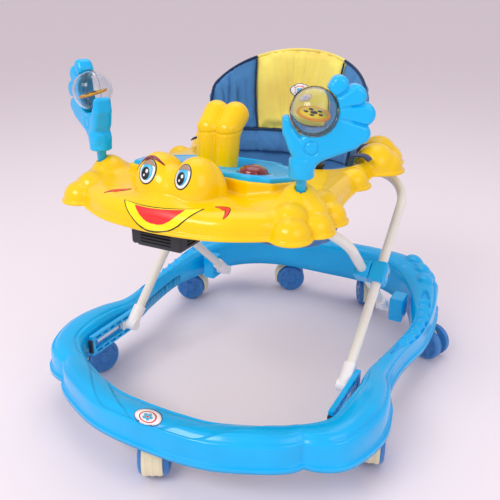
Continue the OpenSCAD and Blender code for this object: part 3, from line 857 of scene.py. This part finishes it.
posts = joined(*[rattle(name, side) for name, side in SIDES.items()])
piece("hand_post_pair", posts[0], posts[1], TOY_BLUE, "tray", "toy_blue",
      replaces=("hand_posts",))


# ---------------------------------------------------------------- face on the tray

def crescent(half, sag, depth, drop=0.0, rows=18, cols=61):
    """Corner function of a smiling mouth for decal()."""
    def point(i, j):
        u = 2 * j / (cols - 1) - 1
        top = -sag * (1 - u * u) - drop
        low = top - 0.7 - (depth - sag) * (1 - abs(u) ** 2.2)
        return half * u, top + (low - top) * i / (rows - 1)
    return dict(point=point, rows=rows, cols=cols, wrap=False)


def stroke(points, width, per=8):
    """Corner function of a curved band that tapers to both ends, for decal()."""
    line = open_curve(points, per)
    n = len(line)

    def point(i, j):
        a, b = line[j]
        (px, py), (qx, qy) = line[max(0, j - 1)], line[min(n - 1, j + 1)]
        d = math.hypot(qx - px, qy - py)
        w = width * (0.15 + 0.85 * math.sin(math.pi * (j + 0.5) / n)) * (i / 3 - 0.5)
        return a - (qy - py) / d * w, b + (qx - px) / d * w
    return dict(point=point, rows=4, cols=n, wrap=False)


def lid(rx, ry, level, rows=6, cols=21):
    """Corner function of the top of an oval, above level, for decal()."""
    reach = rx * math.sqrt(1 - (level / ry) ** 2) * 0.985

    def point(i, j):
        a = reach * (2 * j / (cols - 1) - 1)
        top = ry * math.sqrt(max(0, 1 - (a / rx) ** 2)) * 0.985
        low = level + 1.2 * (1 - (a / reach) ** 2)
        return a, low + (max(top, low + 0.1) - low) * i / (rows - 1)
    return dict(point=point, rows=rows, cols=cols, wrap=False)


def face():
    """Round-eyed smiling face printed on the tray's front."""
    common = dict(tree=surface_of(tray), body="tray", slot="tray_yellow")
    for name, side in SIDES.items():
        prints(f"eye_{name}", [
            ("line", 0.3, INK_BLACK, oval(10.9, 15.1)),
            ("white", 0.5, INK_WHITE, oval(9.6, 13.8)),
            ("iris", 0.7, INK_SKY, oval(7.2, 10.2, (0, -0.6))),
            ("lid", 0.9, INK_LID, lid(9.3, 13.5, 6.2)),
            ("pupil", 1.1, INK_BLACK, oval(5.0, 7.2, (-0.8, -3))),
            ("glint", 1.3, INK_WHITE, oval(1.5, 2.2, (0.9, -0.6), 3, 18)),
            ("spark", 1.3, INK_WHITE, oval(1.0, 1.4, (-1.7, -5.4), 3, 16))],
            centre=(side * 24 - 1, -237, 389), normal=(side * 0.08, -0.8, 0.56),
            up=(0, 0.56, 0.8), **common)
    prints("brow", [("band", 0.4, RED, stroke([(-20, -8), (-11, 1), (2, 5), (17, 1)], 6.5))],
           centre=(-27, -230, 400), normal=(-0.1, -0.6, 0.8), up=(0, 0.8, 0.6), **common)
    prints("brow", [("tail", 0.4, INK_SKY, stroke([(-3, -14), (0, -4), (5, 6)], 3.4))],
           centre=(-50, -224, 390), normal=(-0.75, -0.5, 0.4), up=(0, 0, 1), **common)
    prints("mouth", [("line", 0.3, INK_BLACK, crescent(51.5, 7, 34.5, -1.1)),
                     ("lemon", 0.6, INK_LEMON, crescent(49.3, 7, 32)),
                     ("red", 0.9, INK_RED, crescent(32, 3, 19, 5.2))],
           centre=(4, -262, 366), normal=(0.02, -0.8, 0.6), up=(-0.07, 0.6, 0.8), **common)
    for name, curve, dot in (("right", [(-11, 1), (-3, 2), (4, 1), (7, -7), (6, -15)], 0),
                             ("left", [(-12, -8), (-4, -1), (5, 4), (13, 7)], -1)):
        side = SIDES[name]
        prints(f"cheek_{name}", [("line", 0.3, INK_BLACK, stroke(curve, 6.4)),
                                 ("stroke", 0.42, INK_RED, stroke(curve, 5)),
                                 ("dot", 0.55, INK_RED, oval(3.2, 3.2, (0, dot), 4, 20))],
               centre=(side * 74, -236, 360), normal=(side * 0.25, -0.72, 0.65),
               up=(0, 0.6, 0.75), **common)


face()


# ---------------------------------------------------------------- casters

# Stem place x, y and the way each caster points, in degrees
CASTERS = {"front": (0, -296, 28), "front_left": (-235, -145, -16),
           "front_right": (235, -145, 16), "side_left": (-226, 172, 110),
           "side_right": (226, 172, -110), "rear_left": (-94, 290, -62),
           "rear_right": (94, 290, 28)}
TRAIL = 16                # from a caster's stem back to its axle
WHEEL_R = 27.5
AXLE_R = 2.6
# Side view of the fork's middle web
WEB = [(-12, 34), (-10, 58), (14, 58), (25, 42), (25, 24), (16, 18), (8, 20)]


def hood():
    """Fork of one caster with its curved hood, stem and flange."""
    g = Grid((-17, -19, 13), (17, 51, 93), 1.0)
    r = np.hypot(g.y - TRAIL, g.z - WHEEL_R)
    shell = prism(np.abs(r - 30.1) - 1.7, g.x, -13.5, 13.5, 1.4)
    shell = np.maximum(shell, np.maximum(g.y - TRAIL - 1, 16 - g.z))
    for x in (-9, 0, 9):
        shell = shell - 0.7 * np.exp(-((g.x - x) / 1.2) ** 2)
    web = prism(outline_distance(np.array(WEB, float), g.y[0, :, 0][:, None],
                                 g.z[0, 0, :][None, :])[None], g.x, -6.7, 6.7, 1.6)
    body = blend(shell, web, 1.5)
    stem = np.maximum(np.hypot(g.x, g.y) - 3.9, np.abs(g.z - 70) - 20)
    flange = prism(np.hypot(g.x, g.y) - 11, g.z, 55.5, 58.5, 1.1)
    body = blend(blend(body, flange, 2), stem, 0.6)
    return g.mesh(carve(body, r - AXLE_R - 0.1))


def wheel():
    """One wheel on the +Z axis: grooved tread, rim, six spokes and a hub cap."""
    profile = [(AXLE_R, 7.2), (26.3, 7.2), (27.2, 7.6), (WHEEL_R, 8.6), (WHEEL_R, 10.6),
               (26.8, 10.9), (26.8, 11.5), (WHEEL_R, 11.8), (WHEEL_R, 14.2), (27.1, 15.6),
               (25.6, 17.8), (24.2, 19.1), (23, 19.5), (21.4, 19.4), (20.6, 18.8),
               (20, 17), (17, 16.8), (14, 16.8), (11, 17), (10.2, 18.2), (9.4, 19.2),
               (8.2, 19.5), (4.6, 19.5), (3.9, 18.9), (0, 18.8), (0, 17.5), (AXLE_R, 17.4),
               (AXLE_R, 7.2)]
    verts, faces = lathe(profile, 72)
    out = []
    for x, y, z in verts:
        r = math.hypot(x, y)
        if 10.5 < r < 20.5 and z > 16:
            turn = math.degrees(math.atan2(y, x)) % 60
            z += 2.0 * smooth(11, 7, abs(turn - 30))
        out.append((x, y, z))
    return out, faces


def casters():
    fork, tyre = hood(), wheel()
    for name, (x, y, turn) in CASTERS.items():
        at = Matrix.Translation((x, y, 0)) @ Matrix.Rotation(math.radians(turn), 4, "Z")
        piece(f"hood_{name}", placed(fork[0], at), fork[1], CREAM, f"caster_{name}",
              "caster_cream", replaces=(f"fork_{name}",))
        axle = at @ Matrix.Translation((0, TRAIL, WHEEL_R))
        pair = joined(*[(placed(tyre[0], axle @ Matrix.Rotation(s * math.pi / 2, 4, "Y")), tyre[1])
                        for s in (-1, 1)])
        piece(f"tyres_{name}", pair[0], pair[1], WHEEL_BLUE, f"wheel_{name}", "wheel_blue",
              replaces=(f"wheels_{name}",))


casters()


# ---------------------------------------------------------------- music box and small fittings

RAIL_Z = 81               # height of the guide slots and of the rear pivots
LEG_LEAN = math.radians(42)


def music_box():
    """Black sound box with a stepped foot, corner posts and a grille."""
    g = Grid((-46, -258, 297), (32, -186, 337), 1.0)
    body = g.brick((-7, -222, 319), (35, 32, 15), 3)
    foot = g.brick((-7, -221, 308), (31, 28, 8), 2.5)
    body = blend(body, foot, 1)
    for x in (-38, 24):
        body = blend(body, g.limb((x, -251, 306), (x, -251, 331), 2.6, 2.6), 1)
    for k in range(5):
        z = 309 + 4 * k
        slot = np.abs(g.z - z) - 0.9
        front = np.maximum(np.maximum(slot, np.abs(g.x + 7) - 21), g.y + 251.5)
        end = np.maximum(np.maximum(slot, np.abs(g.y + 222) - 18), 25.2 - g.x)
        body = carve(carve(body, front, 0.3), end, 0.3)
    moulding("music_box_moulding", g, body, BOX_BLACK, "tray", "box_black", "music_box")


def bevelled_box(centre, half, edge):
    """Points and faces of a box with chamfered edges and corners."""
    bm = bmesh.new()
    bmesh.ops.create_cube(bm, size=2)
    for v in bm.verts:
        v.co = Vector(c * h for c, h in zip(v.co, half))
    bmesh.ops.bevel(bm, geom=list(bm.edges), offset=edge, segments=2, affect="EDGES",
                    profile=0.5)
    bm.verts.index_update()
    verts = [tuple(v.co + Vector(centre)) for v in bm.verts]
    faces = [tuple(v.index for v in f.verts) for f in bm.faces]
    bm.free()
    return verts, faces


def rail_trim(name, side):
    """White strip inside one guide rail's slot and the dark stop at its front end."""
    strip = bevelled_box((side * 195.65, -142, RAIL_Z), (0.3, 25, 3.2), 0.2)
    piece(f"rail_strip_{name}", *strip, WHITE, "base", "foot_white")
    stop = bevelled_box((side * 192.5, -185.6, RAIL_Z), (3.4, 1.6, 11), 0.8)
    piece(f"rail_stop_{name}", *stop, BOX_BLACK, "base", "box_black")


def screw(name, at, body, slot, mat):
    """Pan-head screw with a dark cross on its head, which faces +Z before placing."""
    head = lathe([(0, -1), (4.2, -1), (4.2, 0.4), (3.6, 1.3), (2.2, 1.9), (0, 2)], 28)
    cross = joined(*[bevelled_box((0, 0, 1.95), size, 0.1)
                     for size in ((2.1, 0.4, 0.2), (0.4, 2.1, 0.2))])
    piece(name, placed(head[0], at), head[1], mat, body, slot)
    piece(name + "_cross", placed(cross[0], at), cross[1], BOX_BLACK, body, slot)


def bracket(name, side):
    """Chamfered block on the ring's inside, with a raised rim round the rear pivot."""
    block = bevelled_box((side * 183.5, 155.5, 84), (11.5, 16.4, 21), 2.6)
    rim = lathe([(6.4, -1), (10.5, -1), (10.5, 0.9), (9.6, 1.6), (7.4, 1.6), (6.4, 0.8), (6.4, -1)],
                40)
    at = (Matrix.Translation((side * 172, 156, RAIL_Z))
          @ Matrix.Rotation(-side * math.pi / 2, 4, "Y"))
    verts, faces = joined(block, (placed(rim[0], at), rim[1]))
    piece(f"bracket_{name}_block", verts, faces, BASE_BLUE, "base", "base_blue",
          replaces=(f"rear_bracket_{name}",), smooth=False)


def clamp(name, side, kind, lean, inner_x, outer_x, half, body):
    """Chamfered half clamp round one tube, with a rib along it and a band across each end."""
    low, high = (Vector(c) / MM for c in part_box(f"{kind}_clamp_{name}"))
    at = Matrix.Translation((0, *((low + high) / 2)[1:])) @ Matrix.Rotation(lean, 4, "X")
    x, wide = side * (inner_x + outer_x) / 2, (outer_x - inner_x) / 2
    block = bevelled_box((x, 0, 0), (wide, half, 13), 2.4)
    away = side if kind == "outer" else -side
    rib = bevelled_box((x + away * wide, 0, 0), (0.9, half - 4, 9), 0.5)
    bands = [bevelled_box((x, half * s, 0), (wide - 2.5, 0.9, 10.5), 0.5) for s in (-1, 1)]
    verts, faces = joined(block, rib, *bands)
    piece(f"clamp_{kind}_{name}_block", placed(verts, at), faces, TOY_BLUE, body, "base_blue",
          replaces=(f"{kind}_clamp_{name}",), smooth=False)


music_box()
for name, side in SIDES.items():
    rail_trim(name, side)
    bracket(name, side)
    clamp(name, side, "outer", LEG_LEAN, 169.3, 192.4, 15, "legs_outer")
    clamp(name, side, "inner", math.pi - LEG_LEAN, 146.1, 168.7, 13, "legs_inner")
    low, high = (Vector(c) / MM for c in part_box(f"outer_clamp_{name}"))
    outward = Matrix.Rotation(side * math.pi / 2, 4, "Y")
    middle = (low + high) / 2
    middle.x = high.x if side > 0 else low.x
    screw(f"clamp_screw_{name}", Matrix.Translation(middle) @ outward, "legs_outer",
          "axle_steel", STEEL)


# ---------------------------------------------------------------- seat

SEAT_Y = 62
SEAT_WIDE, SEAT_DEEP = 120, 65  # radii of the backrest's curve
BACK_LEAN = 0.175
BACK_TOP = 495
BACK_RISE = 66            # how much higher the backrest is in the middle than at its ends
BACK_LOW = 334            # lower edge of the backrest
SEAM_Z = 371
SEAM_TURN = 34            # degrees of the panel seams either side of the middle
BACK_END = 188            # the backrest ends this many degrees round; 90 is its middle
FOLD_DEPTH = 1.9          # how much deeper a fold is pressed than its depth as drawn
SLING = [(205, 60, 34), (215, 84, 50), (255, 100, 60), (345, 114, 66)]  # height and radii


def back_top(a):
    """Height of the backrest's upper edge at angle a, in degrees."""
    end = min(a, 180 - a)
    drop = 34 * smooth(16, -6, end)
    return BACK_TOP - BACK_RISE + BACK_RISE * max(0, math.sin(math.radians(a))) ** 1.2 - drop


def back_point(a, z, inset):
    """A point of the backrest at angle a and height z, inset from its outer face."""
    d = (z - 350) * BACK_LEAN - inset
    a = math.radians(a)
    return ((SEAT_WIDE + d) * math.cos(a), SEAT_Y + (SEAT_DEEP + d) * math.sin(a), z)


def inflate(obj, cap, voxel):
    """Swells a closed soft piece by a cloth simulation with inner pressure. No point moves
    further than cap. Lengths in metres."""
    remesh = obj.modifiers.new("remesh", "REMESH")
    remesh.mode = "VOXEL"
    remesh.voxel_size = voxel
    graph = bpy.context.evaluated_depsgraph_get()
    mesh = bpy.data.meshes.new_from_object(obj.evaluated_get(graph))
    obj.modifiers.clear()
    obj.data = mesh
    before = [v.co.copy() for v in mesh.vertices]
    cloth = obj.modifiers.new("cloth", "CLOTH")
    cloth.settings.use_pressure = True
    cloth.settings.uniform_pressure_force = 4
    cloth.settings.effector_weights.gravity = 0
    cloth.settings.quality = 6
    for step in range(1, 21):
        bpy.context.scene.frame_set(step)
    graph = bpy.context.evaluated_depsgraph_get()
    after = [v.co.copy() for v in obj.evaluated_get(graph).data.vertices]
    obj.modifiers.clear()
    bpy.context.scene.frame_set(1)
    for v, a, b in zip(mesh.vertices, before, after):
        out = Vector((a.x, (a.y - SEAT_Y * MM) * 1.8, 0)).normalized()
        v.co = a + out * max(-cap, min(cap, (b - a).dot(out)))
    divide = obj.modifiers.new("divide", "SUBSURF")
    divide.levels = divide.render_levels = 1
    graph = bpy.context.evaluated_depsgraph_get()
    obj.data = bpy.data.meshes.new_from_object(obj.evaluated_get(graph))
    obj.modifiers.clear()
    for p in obj.data.polygons:
        p.use_smooth = True


def pleat(obj, folds):
    """Presses folds into a panel. Each fold is its angle at the top, drift with height,
    width in degrees, depth, and the heights where it fades in and out."""
    for v in obj.data.vertices:
        x, y, z = v.co / MM
        a = math.degrees(math.atan2(y - SEAT_Y, x * SEAT_DEEP / SEAT_WIDE)) % 360
        a = a - 360 if a > 270 else a
        push = 0.0
        for start, drift, wide, deep, low, high in folds:
            fade = smooth(low, low + 25, z) * smooth(high + 12, high - 6, z)
            off = (a - start - drift * (z - 430) / 60) / wide
            push += FOLD_DEPTH * deep * fade * math.exp(-off ** 2)
        w = math.radians(a)
        v.co += Vector((math.cos(w), math.sin(w) * 0.8, 0)) * push * MM


def panel(name, a0, a1, low, mat, replaces=()):
    """One padded panel of the backrest, from angle a0 to a1 and from low(a) to its top(a)."""
    cols = max(8, int(abs(a1 - a0) / 3))
    rows = 16
    verts = []
    for inset in (3.4, 10.6):
        for j in range(cols + 1):
            a = a0 + (a1 - a0) * j / cols
            bottom, top = low(a)
            verts += [back_point(a, bottom + (top - bottom) * i / rows, inset)
                      for i in range(rows + 1)]
    n = rows + 1
    layer = (cols + 1) * n
    front = grid_faces(cols + 1, n)
    faces = front + [tuple(layer + i for i in reversed(f)) for f in front]
    loop = [*range(n), *(j * n + rows for j in range(1, cols + 1)),
            *(cols * n + i for i in range(rows - 1, -1, -1)), *(j * n for j in range(cols - 1, 0, -1))]
    faces += [(a, b, b + layer, a + layer) for a, b in zip(loop[-1:] + loop, loop)]
    obj = piece(name, verts, faces, mat, "tray", "seat_fabric", replaces=replaces)
    inflate(obj, 0.0045, 0.0045)
    return obj


def piping(name, points, radius):
    """Sewn cord along points, with a slight unevenness from stitch to stitch."""
    sides = 10
    verts, faces = tube(open_curve(points, 6), radius, sides)
    for i, v in enumerate(verts):
        verts[i] = tuple(c + 0.12 * math.sin(i // sides * 2.1 + k) for k, c in enumerate(v))
    return piece(name, verts, faces, NAVY, "tray", "strap_navy")


def upper(a):
    """Lower and upper height of the panels above the waist seam."""
    return SEAM_Z - 1, back_top(a) - 0.4


def lower(a):
    """Lower and upper height of the panels below the waist seam."""
    return BACK_LOW, SEAM_Z + 1


def seat_back():
    """Backrest of five padded panels with piped seams and rim."""
    middle, edge = 90, BACK_END
    left, right = middle + SEAM_TURN, middle - SEAM_TURN
    yellow = panel("back_middle", right - 0.9, left + 0.9, upper, PALE_YELLOW,
                   replaces=("seat_back",))
    pleat(yellow, [(100, 3, 1.7, 2.6, 380, 500), (93, 1, 1.3, 2.4, 410, 500),
                   (88, -1, 1.1, 2.2, 425, 500), (82, -2, 1.4, 2.6, 400, 500),
                   (75, -4, 1.8, 1.8, 415, 500), (108, 5, 2.2, 1.5, 380, 500),
                   (96.5, 0, 1.2, -1.6, 420, 500), (85, 0, 1.1, -1.5, 420, 500),
                   (66, -3, 2.5, 1.3, 375, 470)])
    west = panel("back_left", left - 0.9, edge, upper, DENIM)
    pleat(west, [(150, -9, 2.2, 3.0, 372, 450), (141, -5, 1.8, 2.4, 372, 430),
                 (158, -2, 2.0, 2.2, 372, 440), (133, -1, 1.6, 1.6, 380, 440),
                 (170, 3, 2.5, 2.0, 372, 430), (146, -4, 1.6, -1.6, 390, 470)])
    east = panel("back_right", 180 - edge, right + 0.9, upper, DENIM)
    pleat(east, [(32, 8, 2.2, 2.6, 372, 450), (41, 4, 1.8, 2.2, 380, 460),
                 (22, 2, 2.0, 2.0, 372, 440), (48, 1, 1.6, 1.4, 380, 440),
                 (12, -2, 2.5, 1.8, 372, 430)])
    for name, a0, a1 in (("left", middle - 0.3, edge), ("right", 180 - edge, middle + 0.3)):
        skirt = panel("back_skirt_" + name, a0, a1, lower, DENIM)
        pleat(skirt, [(a0 + (a1 - a0) * f, 2, 2.0, 1.6, 320, 365)
                      for f in (0.15, 0.4, 0.62, 0.85)])
    for name, a in (("left", left), ("right", right)):
        for face_name, inset in (("front", 11.8), ("rear", 2.2)):
            piping(f"seam_{name}_{face_name}",
                   [back_point(a + 1.2 * math.sin((z - SEAM_Z) / 30), z, inset)
                    for z in np.linspace(SEAM_Z, back_top(a) - 2, 8)], 1.5)
    sweep = np.linspace(180 - edge, edge, 40)
    for name, inset in (("front", 12.2), ("rear", 1.8)):
        piping(f"seam_waist_{name}", [back_point(a, SEAM_Z, inset) for a in sweep], 1.6)
    rim_inset, ends = 7, (340, 372, 388)
    rim = [back_point(180 - edge, z, rim_inset) for z in ends]
    rim += [back_point(a, back_top(a) - 0.6, rim_inset) for a in sweep]
    rim += [back_point(edge, z, rim_inset) for z in reversed(ends)]
    first, last = 16, 29      # rim points at the seams of the middle panel
    piping("rim_right", rim[:first + 1], 2.3)
    piping("rim_left", rim[last:], 2.3)
    verts, faces = tube(open_curve(rim[first:last + 1], 6), 2.0, 10)
    piece("rim_middle", verts, faces, PALE_YELLOW, "tray", "seat_fabric")
    sticker("seat_sticker", (17, 11), tree=surface_of(yellow), centre=(4, 135, 433),
            normal=(0, -0.98, 0.17), up=(0, 0.17, 0.98), body="tray", slot="seat_fabric")


def sling_radii(z):
    """Half width and half depth of the sling at height z."""
    heights, wide, deep = zip(*SLING)
    return np.interp(z, heights, wide), np.interp(z, heights, deep)


LEG = (46, 261, 36)       # leg opening: across, height and radius


def sling():
    """Hanging cloth seat with a pouch bottom and two bound leg openings."""
    g = Grid((-122, -10, 200), (122, 134, 350), 1.5)
    rx, ry = sling_radii(g.z[0, 0, :])
    rx, ry = rx[None, None, :], ry[None, None, :]
    turn = np.arctan2((g.y - SEAT_Y) / 0.55, g.x)
    hang = np.clip((345 - g.z) / 120, 0, 1)
    wrinkle = (1.5 * np.sin(turn * 9 + g.z * 0.02) + 1.1 * np.sin(turn * 17 - g.z * 0.035)) * hang
    wrinkle = wrinkle * np.clip((g.z - 205) / 25, 0, 1)
    reach = np.sqrt((g.x / rx) ** 2 + ((g.y - SEAT_Y) / ry) ** 2)
    side = (reach - 1) * ry * 0.95 + wrinkle
    floor_dip = 206 + 4 * (g.x / 60) ** 2 + 3 * ((g.y - SEAT_Y) / 34) ** 2
    pouch = -blend(-side, g.z - floor_dip, 10)
    shell = np.maximum(np.abs(pouch) - 1.3, g.z - 344)
    hole = np.hypot(np.abs(g.x) - LEG[0], g.z - LEG[1]) - LEG[2]
    shell = np.maximum(shell, -np.maximum(hole, g.y - 34))
    cloth = moulding("seat_sling_cloth", g, shell, DENIM, "tray", "seat_fabric", "seat_sling")
    for name, s in SIDES.items():
        line = []
        for k in range(40):
            w = math.tau * k / 40
            x, z = LEG[0] + LEG[2] * math.cos(w), LEG[1] + LEG[2] * math.sin(w)
            a, b = sling_radii(z)
            y = SEAT_Y - b * math.sqrt(max(0.02, 1 - (x / a) ** 2))
            line.append((s * x, min(y, 33), z))
        verts, faces = tube(closed_curve(line, 120), 2.4, 10, closed=True)
        piece(f"leg_binding_{name}", verts, faces, NAVY, "tray", "strap_navy")


def strap(name, points, width, thick, across, replaces):
    """Woven tab along points, its width along the across direction; also gives its line."""
    line = open_curve(points, 6)
    half = Vector(across).normalized() * width / 2
    section = ((-1, -0.6), (-0.9, -1), (0, -1.1), (0.9, -1), (1, -0.6), (1, 0.6), (0.9, 1),
               (0, 0.8), (-0.9, 1), (-1, 0.6))
    verts = []
    for i, p in enumerate(line):
        a, b = line[max(0, i - 1)], line[min(len(line) - 1, i + 1)]
        up = Vector(b - a).cross(half).normalized() * thick / 2
        verts += [tuple(Vector(p) + half * s + up * t) for s, t in section]
    n, per = len(line), len(section)
    faces = grid_faces(n, per, wrap_cols=True)
    faces += [tuple(range(per)), tuple((n - 1) * per + j for j in range(per))]
    return piece(name, verts, faces, NAVY, "tray", "strap_navy", replaces), line


def straps():
    """Two tabs a side that hook the seat to the tray's opening."""
    for side_name, s in SIDES.items():
        for k, (x, y, turn) in enumerate(((135, 50, 0), (125, 113, 28))):
            w = math.radians(turn)
            out = Vector((s * math.cos(w), math.sin(w), 0))
            across = (-out.y, out.x, 0)
            base = Vector((s * x, y, 0))
            path = [base + out * d + Vector((0, 0, z))
                    for d, z in ((-20, 352), (-14, 360), (-4, 363), (6, 362), (13, 357))]
            first = s < 0 and k == 0
            tab, line = strap(f"strap_{side_name}_{k + 1}", path, 19, 1.8, across,
                              ("seat_hooks",) if first else ())
            line = [Vector(p) for p in line]


seat_back()
sling()
straps()


# ---------------------------------------------------------------- finishes of the CAD nodes

FINISH = {"slot_rail": BASE_BLUE, "caster_sockets": SOCKET_BLUE, "axle_": STEEL,
          "outer_tube": ENAMEL, "inner_tube": ENAMEL, "front_foot": WHITE, "rear_foot": WHITE,
          "slide_blocks": WHITE, "rear_hinge_clips": YELLOW, "front_tracks": YELLOW,
          "tray_plugs": RUBBER}
for name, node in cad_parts.items():
    for start, mat in FINISH.items():
        if name.startswith(start):
            node.data.materials.clear()
            node.data.materials.append(mat)
